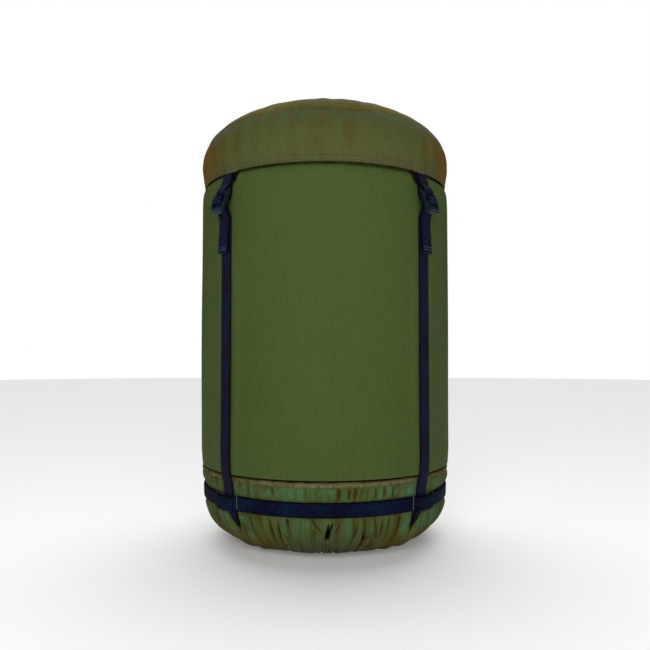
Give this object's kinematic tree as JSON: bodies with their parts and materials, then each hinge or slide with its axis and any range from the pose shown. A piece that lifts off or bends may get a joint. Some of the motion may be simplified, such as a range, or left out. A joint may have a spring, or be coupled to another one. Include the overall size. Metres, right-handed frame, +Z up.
{
  "type": "compression stuff sack",
  "caption": "Cylindrical compression stuff sack with a domed lid, gathered rounded base, webbing belt and side straps that run through ladder locks on the lid.",
  "frame": {"origin": "on the floor, under the middle of the base", "axes": "+Z up along the sack's axis, -Y towards the front, straps on the diagonals between X and Y"},
  "size_m": [0.2844, 0.2844, 0.49],
  "materials": {
    "ripstop": "plain coated ripstop, matte with a faint sheen",
    "skirt_taffeta": "thin coated taffeta with a soft two-tone sheen",
    "lid_taffeta": "thin coated taffeta with a soft two-tone sheen",
    "strip_cloth": "matte gathered cloth",
    "webbing": "ribbed woven webbing",
    "buckle_plastic": "moulded, satin gloss",
    "eyelet_metal": "black enamel"
  },
  "bodies": {
    "sack": {"body_panel": "ripstop", "mouth_collar": "skirt_taffeta", "mouth_hem": "skirt_taffeta", "hem_eyelet_left": "eyelet_metal", "hem_eyelet_right": "eyelet_metal", "ruched_strip": "strip_cloth", "base_skirt": "skirt_taffeta", "base_patch": "strip_cloth", "belt": "webbing", "strap_run_front_left": "webbing", "strap_run_front_right": "webbing", "strap_run_rear_left": "webbing", "strap_run_rear_right": "webbing"},
    "lid": {"lid_crown": "lid_taffeta", "lid_band": "lid_taffeta", "lid_hem": "lid_taffeta", "lock_webbing_front_left": "webbing", "lock_webbing_front_right": "webbing", "lock_webbing_rear_left": "webbing", "lock_webbing_rear_right": "webbing"},
    "lock_front_left": {"ladder_lock_front_left": "buckle_plastic", "strap_end_front_left": "webbing"},
    "lock_front_right": {"ladder_lock_front_right": "buckle_plastic", "strap_end_front_right": "webbing"},
    "lock_rear_left": {"ladder_lock_rear_left": "buckle_plastic", "strap_end_rear_left": "webbing"},
    "lock_rear_right": {"ladder_lock_rear_right": "buckle_plastic", "strap_end_rear_right": "webbing"}
  },
  "joints": [
    {"name": "lid_lift", "type": "slide", "parent": "sack", "child": "lid", "axis": [0, 0, 1], "range_m": [0, 0.027]},
    {"name": "lock_front_left_tilt", "type": "hinge", "parent": "lid", "child": "lock_front_left", "pos_m": [-0.10253, -0.10253, 0.3733], "axis": [-0.7071, 0.7071, 0], "range_deg": [0, 40]},
    {"name": "lock_front_right_tilt", "type": "hinge", "parent": "lid", "child": "lock_front_right", "pos_m": [0.10253, -0.10253, 0.3733], "axis": [-0.7071, -0.7071, 0], "range_deg": [0, 40]},
    {"name": "lock_rear_left_tilt", "type": "hinge", "parent": "lid", "child": "lock_rear_left", "pos_m": [-0.10253, 0.10253, 0.3733], "axis": [0.7071, 0.7071, 0], "range_deg": [0, 40]},
    {"name": "lock_rear_right_tilt", "type": "hinge", "parent": "lid", "child": "lock_rear_right", "pos_m": [0.10253, 0.10253, 0.3733], "axis": [0.7071, -0.7071, 0], "range_deg": [0, 40]}
  ]
}
